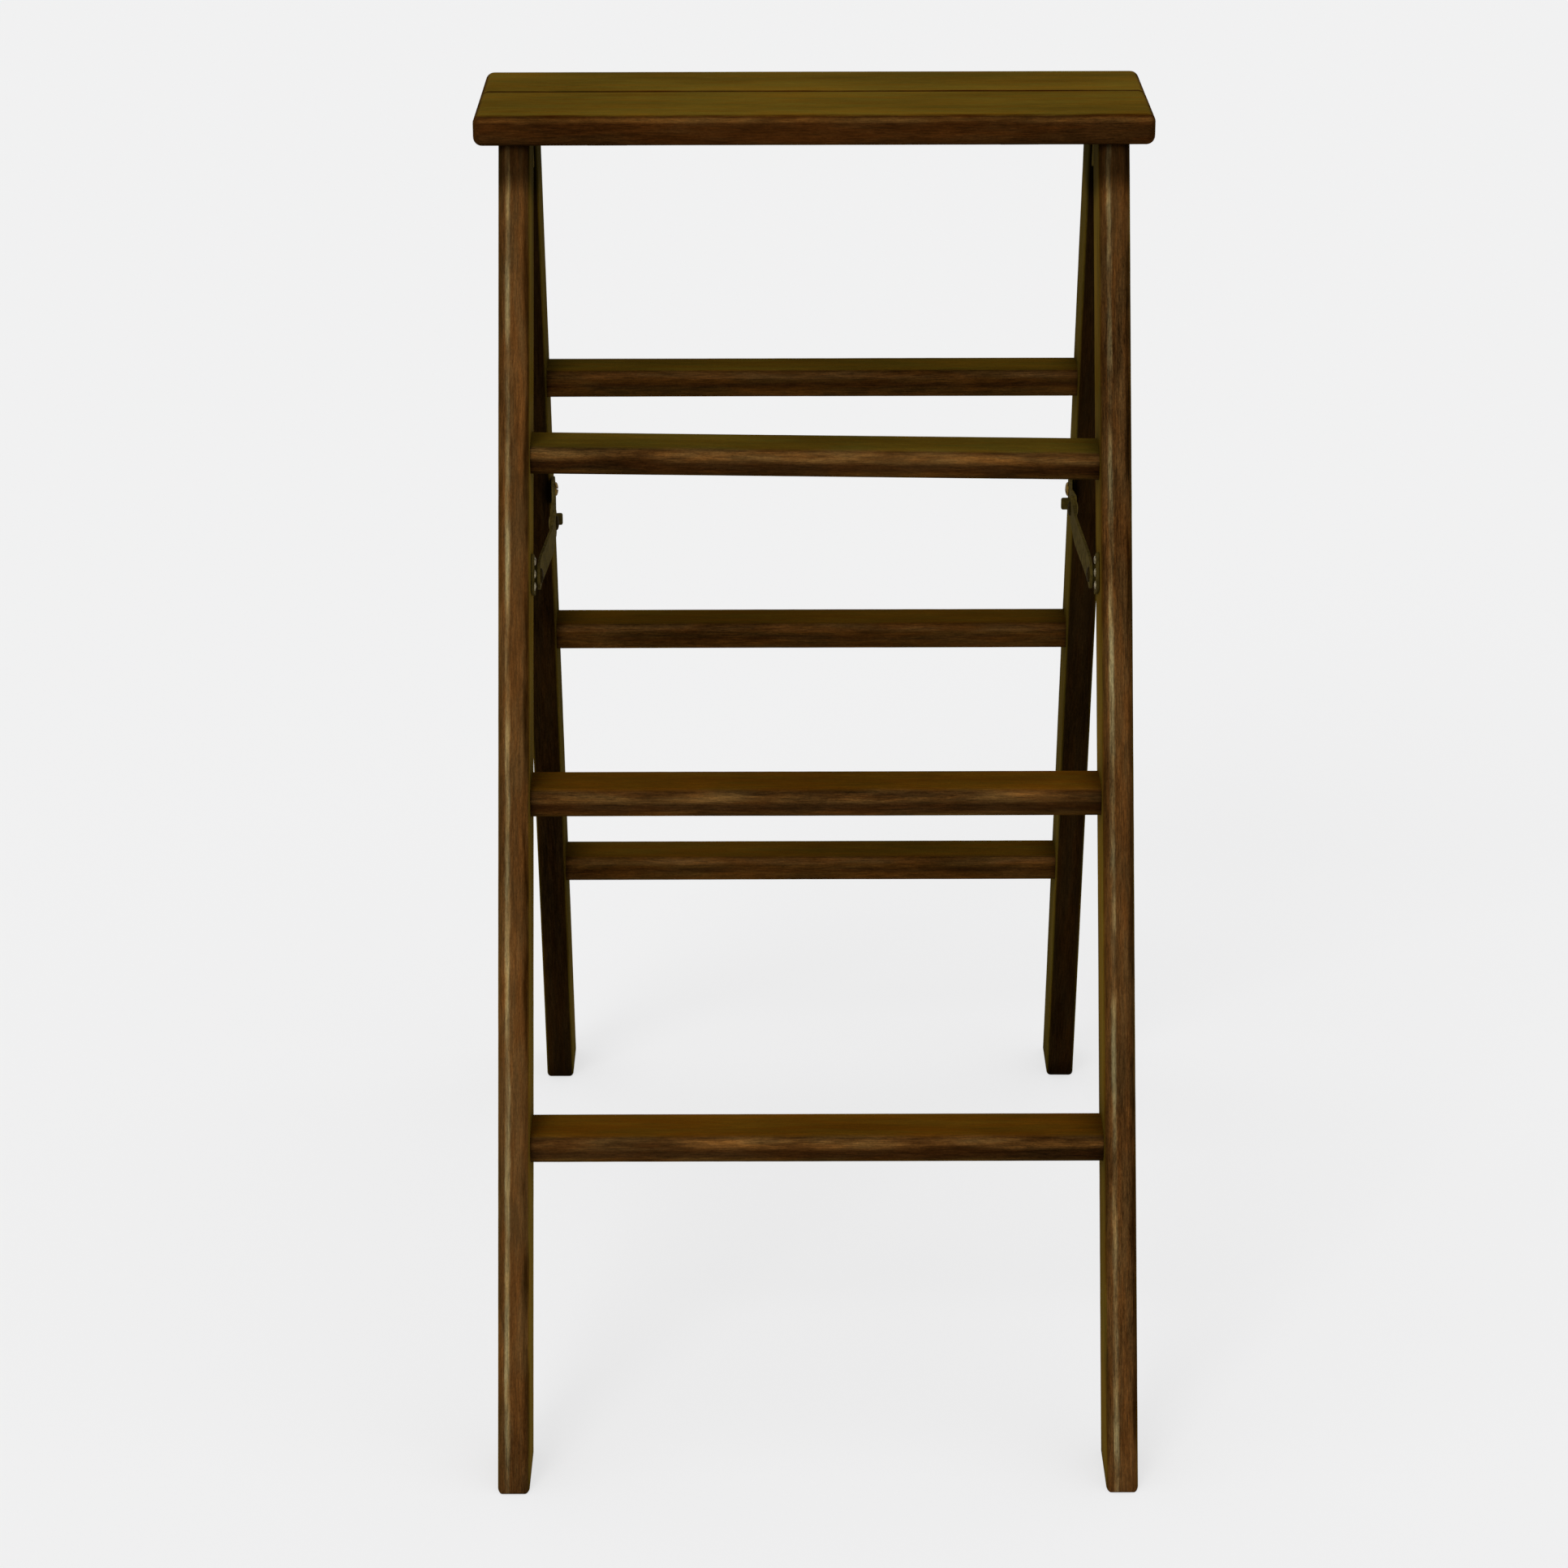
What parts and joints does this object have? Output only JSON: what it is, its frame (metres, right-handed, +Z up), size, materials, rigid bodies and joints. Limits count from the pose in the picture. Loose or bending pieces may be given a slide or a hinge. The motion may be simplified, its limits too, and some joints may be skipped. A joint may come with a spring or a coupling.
{
  "type": "folding stepladder shelf",
  "caption": "Folding wooden A-frame stepladder used as a shelf, with a flat top, treads front and rear, butt hinges and folding steel stays.",
  "frame": {"origin": "on the floor, under the middle of the open ladder's footprint", "axes": "+Z up, +X to the right seen from the front, -Y towards the front treads"},
  "size_m": [0.49, 0.8028, 0.9144],
  "materials": {
    "top_wood": "dark stain, satin varnish",
    "rail_wood": "dark stain, satin varnish",
    "tread_wood": "dark stain, satin varnish",
    "stay_steel": "dull yellow-grey plating",
    "fixing_steel": "bright plating",
    "pivot_brass": "golden plating"
  },
  "bodies": {
    "front_frame": {"top_board_front": "top_wood", "top_board_rear": "top_wood", "top_batten_left": "rail_wood", "top_batten_right": "rail_wood", "batten_screw_front_left": "fixing_steel", "batten_screw_front_right": "fixing_steel", "batten_screw_rear_left": "fixing_steel", "batten_screw_rear_right": "fixing_steel", "front_rail_left": "rail_wood", "front_rail_right": "rail_wood", "front_tread_upper": "tread_wood", "front_tread_middle": "tread_wood", "front_tread_lower": "tread_wood", "front_screw_upper_left": "fixing_steel", "front_screw_upper_right": "fixing_steel", "front_screw_middle_left": "fixing_steel", "front_screw_middle_right": "fixing_steel", "front_screw_lower_left": "fixing_steel", "front_screw_lower_right": "fixing_steel", "hinge_leaf_top_left": "stay_steel", "hinge_leaf_top_right": "stay_steel", "hinge_pin_left": "fixing_steel", "hinge_pin_right": "fixing_steel", "hinge_screw_top_left": "fixing_steel", "hinge_screw_top_right": "fixing_steel", "stay_plate_left": "stay_steel", "stay_plate_right": "stay_steel", "stay_screw_upper_left": "fixing_steel", "stay_screw_upper_right": "fixing_steel", "stay_screw_middle_left": "fixing_steel", "stay_screw_middle_right": "fixing_steel", "stay_screw_lower_left": "fixing_steel", "stay_screw_lower_right": "fixing_steel", "stay_front_rivet_left": "fixing_steel", "stay_front_rivet_right": "fixing_steel"},
    "rear_frame": {"rear_rail_left": "rail_wood", "rear_rail_right": "rail_wood", "rear_tread_upper": "tread_wood", "rear_tread_middle": "tread_wood", "rear_tread_lower": "tread_wood", "rear_screw_upper_left": "fixing_steel", "rear_screw_upper_right": "fixing_steel", "rear_screw_middle_left": "fixing_steel", "rear_screw_middle_right": "fixing_steel", "rear_screw_lower_left": "fixing_steel", "rear_screw_lower_right": "fixing_steel", "hinge_leaf_rail_left": "stay_steel", "hinge_leaf_rail_right": "stay_steel", "hinge_screw_upper_left": "fixing_steel", "hinge_screw_upper_right": "fixing_steel", "hinge_screw_lower_left": "fixing_steel", "hinge_screw_lower_right": "fixing_steel", "stay_rear_pivot_left": "pivot_brass", "stay_rear_pivot_right": "pivot_brass"},
    "stay_front_left": {"stay_front_arm_left": "stay_steel", "stay_knuckle_rivet_left": "fixing_steel"},
    "stay_rear_left": {"stay_rear_arm_left": "stay_steel"},
    "stay_front_right": {"stay_front_arm_right": "stay_steel", "stay_knuckle_rivet_right": "fixing_steel"},
    "stay_rear_right": {"stay_rear_arm_right": "stay_steel"}
  },
  "joints": [
    {"name": "fold", "type": "hinge", "parent": "front_frame", "child": "rear_frame", "pos_m": [0, 0.05274, 0.8878], "axis": [-1, 0, 0], "range_deg": [0, 40]},
    {"name": "stay_front_left", "type": "hinge", "parent": "front_frame", "child": "stay_front_left", "pos_m": [-0.2, -0.11274, 0.59246], "axis": [-1, 0, 0], "range_deg": [0, 97.5]},
    {"name": "stay_rear_left", "type": "hinge", "parent": "rear_frame", "child": "stay_rear_left", "pos_m": [-0.203, 0.17279, 0.57554], "axis": [1, 0, 0], "range_deg": [0, 103.5]},
    {"name": "stay_front_right", "type": "hinge", "parent": "front_frame", "child": "stay_front_right", "pos_m": [0.2, -0.11274, 0.59246], "axis": [-1, 0, 0], "range_deg": [0, 102]},
    {"name": "stay_rear_right", "type": "hinge", "parent": "rear_frame", "child": "stay_rear_right", "pos_m": [0.203, 0.17108, 0.575], "axis": [1, 0, 0], "range_deg": [0, 108.5]}
  ],
  "couplings": [
    {"joint": "stay_front_left", "follows": "fold", "ratio": 2.4289},
    {"joint": "stay_rear_left", "follows": "fold", "ratio": 2.5812},
    {"joint": "stay_front_right", "follows": "fold", "ratio": 2.5397},
    {"joint": "stay_rear_right", "follows": "fold", "ratio": 2.7017}
  ]
}
